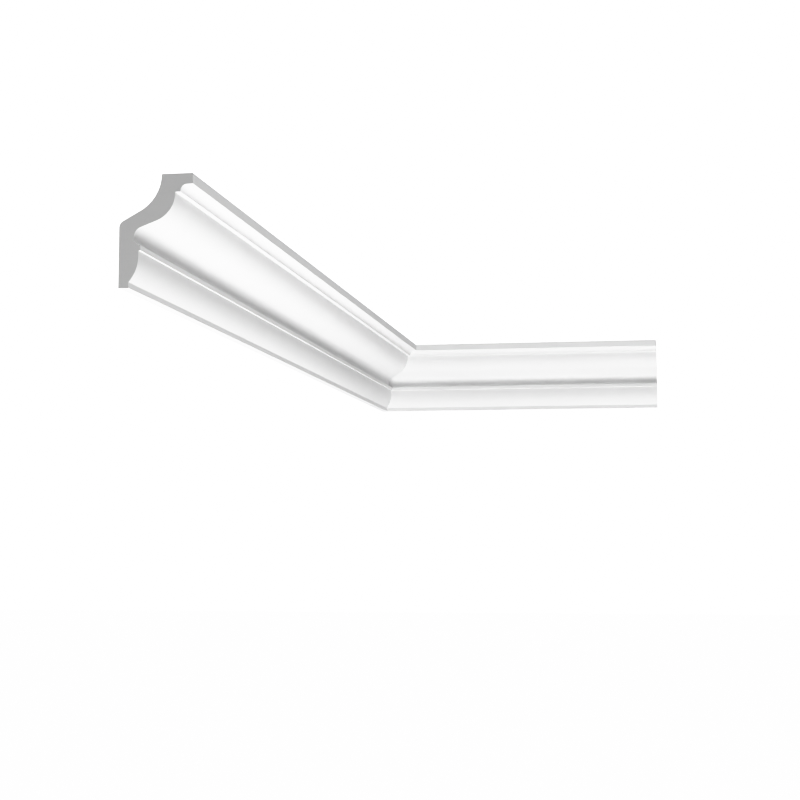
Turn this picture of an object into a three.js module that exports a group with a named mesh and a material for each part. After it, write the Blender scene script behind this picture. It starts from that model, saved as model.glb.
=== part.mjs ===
// A cornice run for an inside corner: a long and a short length of one moulding,
// each cut square at its free end and mitred at 45 degrees where the two meet.
// The origin is the middle of the long length's wall face. +X goes straight out of that face, +Y runs
// along it towards the mitred corner, and +Z is up. Millimetres.

import * as THREE from 'three';

// The run
const DROP = 79; // from the ceiling face down to the underside
const LONG_RUN = 1000; // from the corner, where the two wall faces meet, to the square end
const SHORT_RUN = 348;
const MITRE_GAP = 0.3; // the glue line between the two mitred faces

// The origin, on the long length's wall face
const ORIGIN_ABOVE_UNDERSIDE = 21; // half the height of the wall face
const CORNER_Y = LONG_RUN / 2; // the short length's wall face

// The moulded face, from the top down.
// OUT is a distance from the wall face, and BELOW is one from the ceiling face.
const TOP_FILLET_OUT = 52.5;
const TOP_FILLET_BELOW = 7.5; // its lower edge
const COVE_RADIUS = 5.3; // small quarter-round hollow under the top fillet
const COVE_CENTRE_OUT = 48.9;
const SWELL_OUT = 40.1; // the ogee starts here, behind a narrow ledge
const SWELL_RADIUS = 20.5; // its upper, rounded part
const SWELL_CENTRE_BELOW = 13.3;
const HOLLOW_RADIUS = 8.1; // its lower, hollow part
const THROAT_OUT = 10.5; // the deepest point of the hollow
const THROAT_BELOW = 44.2;
const THROAT_SWEEP_RADIUS = 5; // brings the hollow forward onto the middle fillet
const MIDDLE_FILLET_OUT = 15.5;
const MIDDLE_FILLET_BELOW = 53; // its lower edge
const OVOLO_OUT = 14.2; // rounded member under the middle fillet
const OVOLO_RADIUS = 27.2;
const OVOLO_CENTRE_BELOW = 56.8; // the ovolo is upright down to here
const BOTTOM_FILLET_OUT = 7.3;

// The back: the flat wall face, then an ogee that leaves an open channel up to the ceiling face
const CEILING_FACE_OUT = 30.15; // where the ceiling face starts
const CHANNEL_UPPER_RADIUS = 28.7;
const CHANNEL_LOWER_RADIUS = 5.4;
const CHANNEL_LOWER_BELOW = 36.7; // the top of the wall face

const DEGREES_PER_FACET = 4; // on every rounded member
const WHITE = 0xf4f4f2;
const PRIMER_ROUGHNESS = 0.6;

const HALF_TURN = Math.PI;

// A point of the profile: its distances from the wall face and the ceiling face, as x and height.
function profilePoint(out, below) {
  return new THREE.Vector2(out, DROP - ORIGIN_ABOVE_UNDERSIDE - below);
}

// Points along an arc. Angles are in radians, anticlockwise from straight out of the wall face.
function arc(centre, radius, from, to) {
  const turn = THREE.MathUtils.radToDeg(Math.abs(to - from));
  const curve = new THREE.EllipseCurve(centre.x, centre.y, radius, radius, from, to, to < from);
  return curve.getPoints(Math.ceil(turn / DEGREES_PER_FACET));
}

// An ogee from upright to upright: a rounded arc, a straight stretch that touches both, a hollow arc.
// The straight stretch is square to the angle at which both arcs end.
function ogee(upperCentre, upperRadius, lowerCentre, lowerRadius) {
  const span = lowerCentre.clone().sub(upperCentre);
  const touch = span.angle() - 2 * HALF_TURN + Math.acos((upperRadius + lowerRadius) / span.length());
  return [
    ...arc(upperCentre, upperRadius, 0, touch),
    ...arc(lowerCentre, lowerRadius, touch + HALF_TURN, HALF_TURN),
  ];
}

// The moulded face, from the top fillet's upper edge down to the front of the underside.
function frontOutline() {
  const coveCentre = profilePoint(COVE_CENTRE_OUT, TOP_FILLET_BELOW + COVE_RADIUS);
  const swellCentre = profilePoint(SWELL_OUT - SWELL_RADIUS, SWELL_CENTRE_BELOW);
  const hollowCentre = profilePoint(THROAT_OUT + HOLLOW_RADIUS, THROAT_BELOW);
  const sweepCentre = profilePoint(THROAT_OUT + THROAT_SWEEP_RADIUS, THROAT_BELOW);
  const sweepEnd = HALF_TURN + Math.acos((sweepCentre.x - MIDDLE_FILLET_OUT) / THROAT_SWEEP_RADIUS);
  const ovoloCentre = profilePoint(OVOLO_OUT - OVOLO_RADIUS, OVOLO_CENTRE_BELOW);
  const ovoloEnd = -Math.acos((BOTTOM_FILLET_OUT - ovoloCentre.x) / OVOLO_RADIUS);
  return [
    profilePoint(TOP_FILLET_OUT, 0),
    profilePoint(TOP_FILLET_OUT, TOP_FILLET_BELOW),
    ...arc(coveCentre, COVE_RADIUS, HALF_TURN / 2, HALF_TURN),
    profilePoint(SWELL_OUT, TOP_FILLET_BELOW + COVE_RADIUS),
    ...ogee(swellCentre, SWELL_RADIUS, hollowCentre, HOLLOW_RADIUS),
    ...arc(sweepCentre, THROAT_SWEEP_RADIUS, HALF_TURN, sweepEnd),
    profilePoint(MIDDLE_FILLET_OUT, MIDDLE_FILLET_BELOW),
    profilePoint(OVOLO_OUT, MIDDLE_FILLET_BELOW),
    ...arc(ovoloCentre, OVOLO_RADIUS, 0, ovoloEnd),
    profilePoint(BOTTOM_FILLET_OUT, DROP),
  ];
}

// The back, from the underside up the wall face and the channel to the inner edge of the ceiling face.
function backOutline() {
  const upperCentre = profilePoint(CEILING_FACE_OUT - CHANNEL_UPPER_RADIUS, 0);
  const lowerCentre = profilePoint(CHANNEL_LOWER_RADIUS, CHANNEL_LOWER_BELOW);
  const channel = ogee(upperCentre, CHANNEL_UPPER_RADIUS, lowerCentre, CHANNEL_LOWER_RADIUS);
  return [profilePoint(0, DROP), ...channel.reverse()];
}

// The whole profile. Where two members end on the same point it is kept once.
function mouldingProfile() {
  const sameSpot = 1e-6;
  const points = [...frontOutline(), ...backOutline()];
  const kept = points.filter((point, i) => point.distanceTo(points.at(i - 1)) > sameSpot);
  return new THREE.Shape(kept);
}

// One length of the moulding, its wall face on x = 0, running along -Y from y = 0 to y = -run.
// The mitre cuts back the end at the corner by each point's own distance from the wall face.
function mouldingLength(name, run, cornerAtStart) {
  const geometry = new THREE.ExtrudeGeometry(mouldingProfile(), { depth: run, bevelEnabled: false });
  const glueAllowance = (MITRE_GAP / 2) * Math.SQRT2;
  const position = geometry.attributes.position;
  for (let i = 0; i < position.count; i++) {
    const cutBack = position.getX(i) + glueAllowance;
    const atStart = position.getZ(i) < run / 2;
    if (atStart && cornerAtStart) position.setZ(i, cutBack);
    if (!atStart && !cornerAtStart) position.setZ(i, run - cutBack);
  }
  geometry.rotateX(HALF_TURN / 2);
  geometry.computeVertexNormals();
  const primer = new THREE.MeshStandardMaterial({
    color: WHITE,
    roughness: PRIMER_ROUGHNESS,
    metalness: 0,
  });
  const mesh = new THREE.Mesh(geometry, primer);
  mesh.name = name;
  return mesh;
}

// The long length runs from the corner towards -Y.
const longLength = mouldingLength('long_length', LONG_RUN, true);
longLength.position.set(0, CORNER_Y, 0);

// The short length is turned square to the long one and runs from the corner towards +X.
const shortLength = mouldingLength('short_length', SHORT_RUN, false);
shortLength.rotation.z = -HALF_TURN / 2;
shortLength.position.set(SHORT_RUN, CORNER_Y, 0);

const cornice = new THREE.Group();
cornice.add(longLength, shortLength);

export default cornice;
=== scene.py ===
import math

import bpy
import numpy as np
from mathutils import Matrix, Vector


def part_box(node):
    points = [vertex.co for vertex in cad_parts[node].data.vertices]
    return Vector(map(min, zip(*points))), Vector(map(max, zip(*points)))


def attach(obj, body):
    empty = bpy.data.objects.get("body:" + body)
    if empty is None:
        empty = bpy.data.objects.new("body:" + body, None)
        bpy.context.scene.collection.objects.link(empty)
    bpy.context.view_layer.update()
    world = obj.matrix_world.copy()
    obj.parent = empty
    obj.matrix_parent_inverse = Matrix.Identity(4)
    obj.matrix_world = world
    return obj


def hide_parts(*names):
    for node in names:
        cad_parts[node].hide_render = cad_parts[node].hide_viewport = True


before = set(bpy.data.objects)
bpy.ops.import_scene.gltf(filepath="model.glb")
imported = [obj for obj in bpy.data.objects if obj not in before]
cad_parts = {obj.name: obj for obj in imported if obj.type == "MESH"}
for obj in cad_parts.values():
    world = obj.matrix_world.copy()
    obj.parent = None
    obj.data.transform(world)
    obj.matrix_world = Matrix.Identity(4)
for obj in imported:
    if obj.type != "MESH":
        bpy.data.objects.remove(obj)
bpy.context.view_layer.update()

# Long length. It is a run of rigid grey polymer foam with a cove, an ogee, a middle fillet and an
# ovolo moulded on its face, which is sprayed with white primer. It is glued up by its bare wall face
# and ceiling face, with a channel open between them. One end is mitred, the other sawn square.
long_low, long_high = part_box("long_length")
short_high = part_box("short_length")[1]
CEILING_Z = long_high.z
DROP = long_high.z - long_low.z
CORNER_Y = short_high.y  # the short length's wall face
LONG_RUN = CORNER_Y - long_low.y

# The section, in metres. OUT is a distance from the wall face, and BELOW is one from the ceiling face.
TOP_FILLET_OUT = long_high.x
TOP_FILLET_BELOW = 0.0075
COVE_RADIUS = 0.0053
COVE_CENTRE_OUT = 0.0489
SWELL_OUT = 0.0401
SWELL_RADIUS = 0.0205
SWELL_CENTRE_BELOW = 0.0133
HOLLOW_RADIUS = 0.0081
THROAT_OUT = 0.0105
THROAT_BELOW = 0.0442
THROAT_SWEEP_RADIUS = 0.005
MIDDLE_FILLET_OUT = 0.0155
MIDDLE_FILLET_BELOW = 0.053
OVOLO_OUT = 0.0142
OVOLO_RADIUS = 0.0272
OVOLO_CENTRE_BELOW = 0.0568
BOTTOM_FILLET_OUT = 0.0073
CEILING_FACE_OUT = 0.03015
CHANNEL_UPPER_RADIUS = 0.0287
CHANNEL_LOWER_RADIUS = 0.0054
CHANNEL_LOWER_BELOW = 0.0367
ARRIS_EASE = 0.0003  # how far each side of an arris the moulded rounding reaches

# How finely the section and the run are divided
ARC_STEP = math.radians(3)  # the widest step on an arc, before the arrises are eased
WALK_STEP = 0.00002  # the step at which they are eased
LONGEST_EDGE = 0.004  # of the finished section
TURN_PER_POINT = math.radians(5)  # about, because one step walked in an arris turns up to 4 degrees
RUN_STEPS = 20


def profile_point(out, below):
    """A point of the profile: its distance out, and the ceiling face's height less below."""
    return np.array([out, CEILING_Z - below])


def arc(centre, radius, start, end):
    """Points centre + radius (cos a, sin a), with a going evenly from start to end by ARC_STEP or less."""
    angle = np.linspace(start, end, 2 + int(abs(end - start) / ARC_STEP))
    return centre + radius * np.column_stack([np.cos(angle), np.sin(angle)])


def ogee(upper, upper_radius, lower, lower_radius):
    """A rounded arc about upper and a hollow arc about lower, joined by a straight that touches both.
    Both arcs end at the angle touch, where cos(touch - direction to lower) = (r + R) / distance."""
    across, rise = lower - upper
    spread = math.acos((upper_radius + lower_radius) / math.hypot(across, rise))
    touch = math.atan2(rise, across) + spread
    rounded = arc(upper, upper_radius, 0, touch)
    hollow = arc(lower, lower_radius, touch + math.pi, math.pi)
    return np.vstack([rounded, hollow])


def face_outline():
    """The primed face, from the top down: fillet, cove, ledge, ogee, sweep, fillet, ovolo, fillet."""
    cove = profile_point(COVE_CENTRE_OUT, TOP_FILLET_BELOW + COVE_RADIUS)
    swell = profile_point(SWELL_OUT - SWELL_RADIUS, SWELL_CENTRE_BELOW)
    hollow = profile_point(THROAT_OUT + HOLLOW_RADIUS, THROAT_BELOW)
    sweep = profile_point(THROAT_OUT + THROAT_SWEEP_RADIUS, THROAT_BELOW)
    sweep_end = math.pi + math.acos((sweep[0] - MIDDLE_FILLET_OUT) / THROAT_SWEEP_RADIUS)
    ovolo = profile_point(OVOLO_OUT - OVOLO_RADIUS, OVOLO_CENTRE_BELOW)
    ovolo_end = -math.acos((BOTTOM_FILLET_OUT - ovolo[0]) / OVOLO_RADIUS)
    return np.vstack([
        profile_point(TOP_FILLET_OUT, 0),
        profile_point(TOP_FILLET_OUT, TOP_FILLET_BELOW),
        arc(cove, COVE_RADIUS, math.pi / 2, math.pi),
        profile_point(SWELL_OUT, TOP_FILLET_BELOW + COVE_RADIUS),
        ogee(swell, SWELL_RADIUS, hollow, HOLLOW_RADIUS),
        arc(sweep, THROAT_SWEEP_RADIUS, math.pi, sweep_end),
        profile_point(MIDDLE_FILLET_OUT, MIDDLE_FILLET_BELOW),
        profile_point(OVOLO_OUT, MIDDLE_FILLET_BELOW),
        arc(ovolo, OVOLO_RADIUS, 0, ovolo_end),
        profile_point(BOTTOM_FILLET_OUT, DROP),
        profile_point(0, DROP),
    ])


def back_outline():
    """The bare back, from the top of the wall face up the channel's ogee to the ceiling face."""
    upper = profile_point(CEILING_FACE_OUT - CHANNEL_UPPER_RADIUS, 0)
    lower = profile_point(CHANNEL_LOWER_RADIUS, CHANNEL_LOWER_BELOW)
    return ogee(upper, CHANNEL_UPPER_RADIUS, lower, CHANNEL_LOWER_RADIUS)[::-1]


def moulding_outline():
    """The closed outline with its arrises eased, and how far each point lies behind the primed face.
    Each point becomes the mean of the outline over ARRIS_EASE to each side, a difference of running
    sums, so a straight stays as it is and a corner turns into a short parabola. Then a point is kept
    whenever the shares of LONGEST_EDGE travelled and of TURN_PER_POINT turned add up to one more."""
    face = face_outline()
    loop = np.vstack([face, back_outline(), face[:1]])
    travelled = np.append(0, np.cumsum(np.hypot(*np.diff(loop, axis=0).T)))
    fine_at = np.arange(0, travelled[-1], WALK_STEP)
    fine = np.column_stack([np.interp(fine_at, travelled, loop[:, k]) for k in (0, 1)])
    reach = round(ARRIS_EASE / WALK_STEP)
    padded = np.vstack([fine[-reach - 1:], fine, fine[:reach]])
    running = np.cumsum(padded, axis=0)
    eased = (running[2 * reach + 1:] - running[:-2 * reach - 1]) / (2 * reach + 1)
    ahead = np.roll(eased, -1, axis=0) - eased
    heading = np.unwrap(np.arctan2(ahead[:, 1], ahead[:, 0]))
    turn = np.abs(np.diff(heading, append=heading[-1]))
    worth = np.cumsum(WALK_STEP / LONGEST_EDGE + turn / TURN_PER_POINT)
    kept = np.searchsorted(worth, np.arange(int(worth[-1])))
    face_end = travelled[len(face) - 1]
    behind = np.clip(np.minimum(fine_at - face_end, travelled[-1] - fine_at), 0, None)
    return eased[kept], behind[kept]


def carried_moulding(name, run, place, mirrored):
    """A closed mesh: the outline carried along the run. Its distance s from the corner goes evenly
    from the point's own distance out, which is the mitre, to run, which is the square end.
    place(out, s, height) gives x, y and z."""
    outline, behind = moulding_outline()
    out, height = outline[:, 0], outline[:, 1]
    share = np.linspace(0, 1, RUN_STEPS + 1)[:, None]
    s = out + share * (run - out)
    x, y, z = np.broadcast_arrays(*place(out, s, height))
    vertices = np.stack([x, y, z], axis=-1).reshape(-1, 3)
    around = len(outline)
    row = np.arange(RUN_STEPS)[:, None] * around
    near = row + np.arange(around)
    beside = row + np.roll(np.arange(around), -1)
    sides = np.stack([near, near + around, beside + around, beside], axis=-1).reshape(-1, 4)
    mitre = np.arange(around)
    square = np.arange(around)[::-1] + RUN_STEPS * around
    if mirrored:
        sides, mitre, square = sides[:, ::-1], mitre[::-1], square[::-1]
    mesh = bpy.data.meshes.new(name)
    mesh.from_pydata(vertices, [], sides.tolist() + [mitre.tolist(), square.tolist()])
    is_side = np.append(np.ones(len(sides), bool), [False, False])
    mesh.polygons.foreach_set("use_smooth", is_side)
    mesh.polygons.foreach_set("material_index", (~is_side).astype(np.int32))
    edge_ends = np.empty(2 * len(mesh.edges), np.int32)
    mesh.edges.foreach_get("vertices", edge_ends)
    row_from, row_to = edge_ends.reshape(-1, 2).T // around
    round_an_end = (row_from == row_to) & (row_from % RUN_STEPS == 0)
    sharp = mesh.attributes.new("sharp_edge", "BOOLEAN", "EDGE")
    sharp.data.foreach_set("value", round_an_end)
    bare = mesh.attributes.new("behind_face", "FLOAT", "POINT")
    bare.data.foreach_set("value", np.tile(behind, RUN_STEPS + 1).astype(np.float32))
    mesh.update()
    piece = bpy.data.objects.new(name, mesh)
    bpy.context.scene.collection.objects.link(piece)
    return piece


class Wire:
    """A shader socket in a sum. An operator adds a Math node, and node() adds any other node."""

    def __init__(self, tree, socket=None):
        self.tree = tree
        self.socket = socket

    def node(self, kind, settings, sockets, output=0):
        """A new node: its settings first, then a value or a wire for each socket named."""
        made = self.tree.nodes.new(kind)
        for setting, value in settings.items():
            setattr(made, setting, value)
        for socket, value in sockets.items():
            if isinstance(value, Wire):
                value.into(made, socket)
            else:
                made.inputs[socket].default_value = value
        return Wire(self.tree, made.outputs[output])

    def into(self, node, socket):
        """Joins the wire to a socket of the node."""
        self.tree.links.new(self.socket, node.inputs[socket])

    def math(self, operation, first, second):
        """The operation on first and second, each a value or a wire."""
        return self.node("ShaderNodeMath", {"operation": operation}, {0: first, 1: second})

    def __add__(self, other):
        return self.math("ADD", self, other)

    def __sub__(self, other):
        return self.math("SUBTRACT", self, other)

    def __rsub__(self, other):
        return self.math("SUBTRACT", other, self)

    def __mul__(self, other):
        return self.math("MULTIPLY", self, other)

    __radd__ = __add__
    __rmul__ = __mul__


def noise(wire, coordinates, grain, detail=2):
    """Noise of mean 0.5 with grain cells to the metre."""
    sockets = {"Vector": coordinates, "Scale": grain, "Detail": detail}
    return wire.node("ShaderNodeTexNoise", {}, sockets)


def squeezed(wire, coordinates, by):
    """The coordinates times by, so that noise is drawn out into lines along each axis where by is small."""
    settings = {"operation": "MULTIPLY"}
    return wire.node("ShaderNodeVectorMath", settings, {0: coordinates, 1: by})


def ramp(wire, value, low, high):
    """0 below low, 1 above high and smooth between them."""
    settings = {"interpolation_type": "SMOOTHSTEP"}
    return wire.node("ShaderNodeMapRange", settings, {0: value, 1: low, 2: high})


def mix_colours(wire, share, first, second):
    """The first colour where share is 0, the second where it is 1. In a Mix node, sockets 6 and 7 take
    the colours, and output 2 gives the mixed one."""
    settings = {"data_type": "RGBA"}
    return wire.node("ShaderNodeMix", settings, {0: share, 6: first, 7: second}, 2)


# The primer and the bare back. A grain is a number of cells to the metre, and a relief is in metres.
PRIMER_WHITE = (0.81, 0.81, 0.81, 1)
PRIMER_THIN = (0.78, 0.78, 0.78, 1)
PRIMER_ROUGHNESS = 0.55
PRIMER_RELIEF = 0.00004
CLOUD_GRAIN = 25  # patches where the primer is thinner
PEEL_GRAIN = 900
MOULD_LINE_GRAIN = 700
MOULD_LINE_SQUEEZE = 0.01
OVERSPRAY = 0.004  # how far the primer reaches round onto the back
OVERSPRAY_GRAIN = 90
FOAM_GREY = (0.585, 0.585, 0.585, 1)
FOAM_SKIN = (0.64, 0.64, 0.64, 1)
SKIN_GRAIN = 400
SKIN_ROUGHNESS = 0.75


def moulding_finish(name, squeeze):
    """White primer on the face, thinning out over the edges of the back, which is bare foam skin.
    Squeezing the coordinates along the run turns noise into the fine lines that the mould leaves."""
    material = bpy.data.materials.new(name)
    material.use_nodes = True
    wire = Wire(material.node_tree)
    shader = material.node_tree.nodes["Principled BSDF"]
    place = wire.node("ShaderNodeTexCoord", {}, {}, "Object")
    behind = wire.node("ShaderNodeAttribute", {"attribute_name": "behind_face"}, {}, "Fac")
    edge = noise(wire, place, OVERSPRAY_GRAIN, detail=3) * OVERSPRAY + behind
    bare = ramp(wire, edge, low=OVERSPRAY, high=2 * OVERSPRAY)
    cloud = ramp(wire, noise(wire, place, CLOUD_GRAIN), low=0.3, high=0.7)
    primer = mix_colours(wire, cloud * 0.5, PRIMER_WHITE, PRIMER_THIN)
    skin = mix_colours(wire, noise(wire, place, SKIN_GRAIN), FOAM_SKIN, FOAM_GREY)
    peel = noise(wire, place, PEEL_GRAIN)
    lines = noise(wire, squeezed(wire, place, squeeze), MOULD_LINE_GRAIN, detail=1)
    height = peel * 0.6 + lines * 0.4
    bump = {"Strength": 0.5, "Distance": PRIMER_RELIEF, "Height": height}
    roughness = bare * (SKIN_ROUGHNESS - PRIMER_ROUGHNESS) + PRIMER_ROUGHNESS
    mix_colours(wire, bare, primer, skin).into(shader, "Base Color")
    roughness.into(shader, "Roughness")
    wire.node("ShaderNodeBump", {}, bump).into(shader, "Normal")
    return material


# The sawn ends
FOAM_DARK = (0.495, 0.495, 0.495, 1)  # mixed in between cells and along saw marks as the foam's own tone, and at open pores as painted shade
SAWN_ROUGHNESS = 0.9
SAWN_RELIEF = 0.0001
CELL_GRAIN = 2800
PORE_GRAIN = 1500
SAW_MARK_GRAIN = 900
SAW_MARK_SQUEEZE = (0.05, 0.05, 1)


def sawn_finish(name):
    """Sawn foam: closed cells a third of a millimetre wide, a few open pores drawn as spots of painted
    shade, and faint saw marks.
    """
    material = bpy.data.materials.new(name)
    material.use_nodes = True
    wire = Wire(material.node_tree)
    shader = material.node_tree.nodes["Principled BSDF"]
    place = wire.node("ShaderNodeTexCoord", {}, {}, "Object")
    sockets = {"Vector": place, "Scale": CELL_GRAIN}
    cells = wire.node("ShaderNodeTexVoronoi", {}, sockets, "Distance")
    # Painted shade: dark spots with no relief, where open pores would hold shade.
    pore_shade = ramp(wire, noise(wire, place, PORE_GRAIN), low=0.62, high=0.72)
    marks = noise(wire, squeezed(wire, place, SAW_MARK_SQUEEZE), SAW_MARK_GRAIN, detail=1)
    dark = pore_shade * 0.5 + cells * 0.25 + marks * 0.2
    height = cells * 0.5 + marks * 0.5
    bump = {"Strength": 0.6, "Distance": SAWN_RELIEF, "Height": height}
    mix_colours(wire, dark, FOAM_GREY, FOAM_DARK).into(shader, "Base Color")
    wire.node("ShaderNodeBump", {}, bump).into(shader, "Normal")
    shader.inputs["Roughness"].default_value = SAWN_ROUGHNESS
    return material


sawn_foam = sawn_finish("sawn_foam")
long_piece = carried_moulding(
    "long_moulding",
    LONG_RUN,
    lambda out, s, height: (out, CORNER_Y - s, height),
    mirrored=False,
)
long_piece.data.materials.append(moulding_finish("long_primer", (1, MOULD_LINE_SQUEEZE, 1)))
long_piece.data.materials.append(sawn_foam)
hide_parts("long_length")
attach(long_piece, "root")

# Short length. The same foam moulding, turned square to the long one, so its profile is mirrored about
# the mitre, where the two are glued face to face and filled flush. Its other end is sawn square.
SHORT_RUN = short_high.x
short_piece = carried_moulding(
    "short_moulding",
    SHORT_RUN,
    lambda out, s, height: (s, CORNER_Y - out, height),
    mirrored=True,
)
short_piece.data.materials.append(moulding_finish("short_primer", (MOULD_LINE_SQUEEZE, 1, 1)))
short_piece.data.materials.append(sawn_foam)
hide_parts("short_length")
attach(short_piece, "root")

# Floor. A plain pale studio floor, well below the run. It glows a little so that the camera sees it
# nearly white, and the run neither mirrors it nor takes light from it.
FLOOR_Z = -1.6
FLOOR_HALF = 40.0
FLOOR_PAINT = (0.8, 0.8, 0.8, 1)
FLOOR_ROUGHNESS = 0.9
FLOOR_GLOW = 0.6
corners = np.array([[-1, -1, 0], [1, -1, 0], [1, 1, 0], [-1, 1, 0]]) * FLOOR_HALF
floor_mesh = bpy.data.meshes.new("floor")
floor_mesh.from_pydata(corners + [0, 0, FLOOR_Z], [], [(0, 1, 2, 3)])
floor = bpy.data.objects.new("floor", floor_mesh)
bpy.context.scene.collection.objects.link(floor)
floor_paint = bpy.data.materials.new("floor_paint")
floor_paint.use_nodes = True
floor_shader = floor_paint.node_tree.nodes["Principled BSDF"]
floor_shader.inputs["Base Color"].default_value = FLOOR_PAINT
floor_shader.inputs["Roughness"].default_value = FLOOR_ROUGHNESS
floor_shader.inputs["Emission Color"].default_value = (1, 1, 1, 1)
floor_shader.inputs["Emission Strength"].default_value = FLOOR_GLOW
floor_mesh.materials.append(floor_paint)
floor.visible_diffuse = False
floor.visible_glossy = False

# Light. Two large soft lamps stand below the run, because a moulding fixed overhead is lit from below,
# and a smaller one stands in front of its sawn end. The studio glows dimly: straight overhead, from
# the floor and behind the two lengths. The camera sees it as plain white.
STUDIO_GLOW = [
    # side, strength, how narrow the glow is
    ((0, 0, 1), 2.5, 4),
    ((0, 0, -1), 0.46, 1),
    ((0, 1, 0), 0.64, 1),
    ((-1, 0, 0), 0.42, 1),
]
LAMPS = [
    # place, diameter, watts
    ((0.3, -0.5, -1.2), 1.2, 17.5),
    ((0.9, -0.4, -1.2), 1.2, 6.5),
    ((-0.15, -1.7, -0.15), 0.8, 4.5),
]
LAMP_AIM = Vector((0.1, 0, 0))
WHITE_LEVEL = 2.0  # light as strong as this is plain white in the picture
world = bpy.data.worlds.new("studio")
bpy.context.scene.world = world
world.use_nodes = True
world_wire = Wire(world.node_tree)
background = world.node_tree.nodes["Background"]
background.inputs["Color"].default_value = (1, 1, 1, 1)
direction = world_wire.node("ShaderNodeTexCoord", {}, {}, "Generated")


def glow(side, strength, narrowness):
    """strength times a power of the cosine to a side of the studio, and nothing past a right angle."""
    settings = {"operation": "DOT_PRODUCT"}
    cosine = world_wire.node("ShaderNodeVectorMath", settings, {0: direction, 1: side}, "Value")
    lit = cosine.math("MAXIMUM", cosine, 0)
    return strength * lit.math("POWER", lit, narrowness)


above, below, behind_short, behind_long = [glow(*one) for one in STUDIO_GLOW]
studio = above + below + behind_short + behind_long
seen = world_wire.node("ShaderNodeLightPath", {}, {}, "Is Camera Ray")
strength = seen * WHITE_LEVEL + (1 - seen) * studio
strength.into(background, "Strength")

for index, (lamp_place, diameter, watts) in enumerate(LAMPS):
    lamp_data = bpy.data.lights.new(f"lamp_{index}", "AREA")
    lamp_data.shape = "DISK"
    lamp_data.size = diameter
    lamp_data.energy = watts
    lamp = bpy.data.objects.new(f"lamp_{index}", lamp_data)
    bpy.context.scene.collection.objects.link(lamp)
    lamp.location = lamp_place
    towards = LAMP_AIM - lamp.location
    lamp.rotation_euler = towards.to_track_quat("-Z", "Y").to_euler()
    lamp.visible_camera = False

# Camera. It stands below the run, past the long length's sawn end, and looks up into the corner. Its
# place, turns and focal length were fitted to the straight edges of both lengths.
FOCAL_PIXELS = 1665.6
IMAGE_PIXELS = 800
CAMERA_PLACE = (0.38668, -1.58566, -0.20483)
CAMERA_LEFT = math.radians(9.8926)
CAMERA_UP = math.radians(5.3648)
CAMERA_ROLL = math.radians(0.0602)
camera_data = bpy.data.cameras.new("camera")
camera_data.sensor_width = 36
camera_data.lens = FOCAL_PIXELS / IMAGE_PIXELS * camera_data.sensor_width
camera_data.clip_start = 0.05
camera_data.clip_end = 200
camera = bpy.data.objects.new("camera", camera_data)
bpy.context.scene.collection.objects.link(camera)
camera.matrix_world = (
    Matrix.Translation(CAMERA_PLACE)
    @ Matrix.Rotation(CAMERA_LEFT, 4, "Z")
    @ Matrix.Rotation(math.pi / 2 + CAMERA_UP, 4, "X")
    @ Matrix.Rotation(CAMERA_ROLL, 4, "Z")
)
bpy.context.scene.camera = camera

# View. The picture's tones are true up to SHOULDER_START, and above it they level off towards white,
# as a camera's do, by 1 - exp(-excess / HEADROOM).
SHOULDER_START = 0.8
HEADROOM = 1 - SHOULDER_START
CURVE_LIGHTS = (SHOULDER_START / 2, SHOULDER_START, 0.9, 1.0, 1.1, 1.2, 1.4, 1.6)
view = bpy.context.scene.view_settings
view.view_transform = "Standard"
view.use_curve_mapping = True
view.curve_mapping.white_level = (WHITE_LEVEL, WHITE_LEVEL, WHITE_LEVEL)
tone_curve = view.curve_mapping.curves[3]  # the one for red, green and blue together
for light in CURVE_LIGHTS:
    excess = max(light - SHOULDER_START, 0)
    tone = min(light, SHOULDER_START) + HEADROOM * (1 - math.exp(-excess / HEADROOM))
    tone_curve.points.new(light / WHITE_LEVEL, tone)
view.curve_mapping.update()
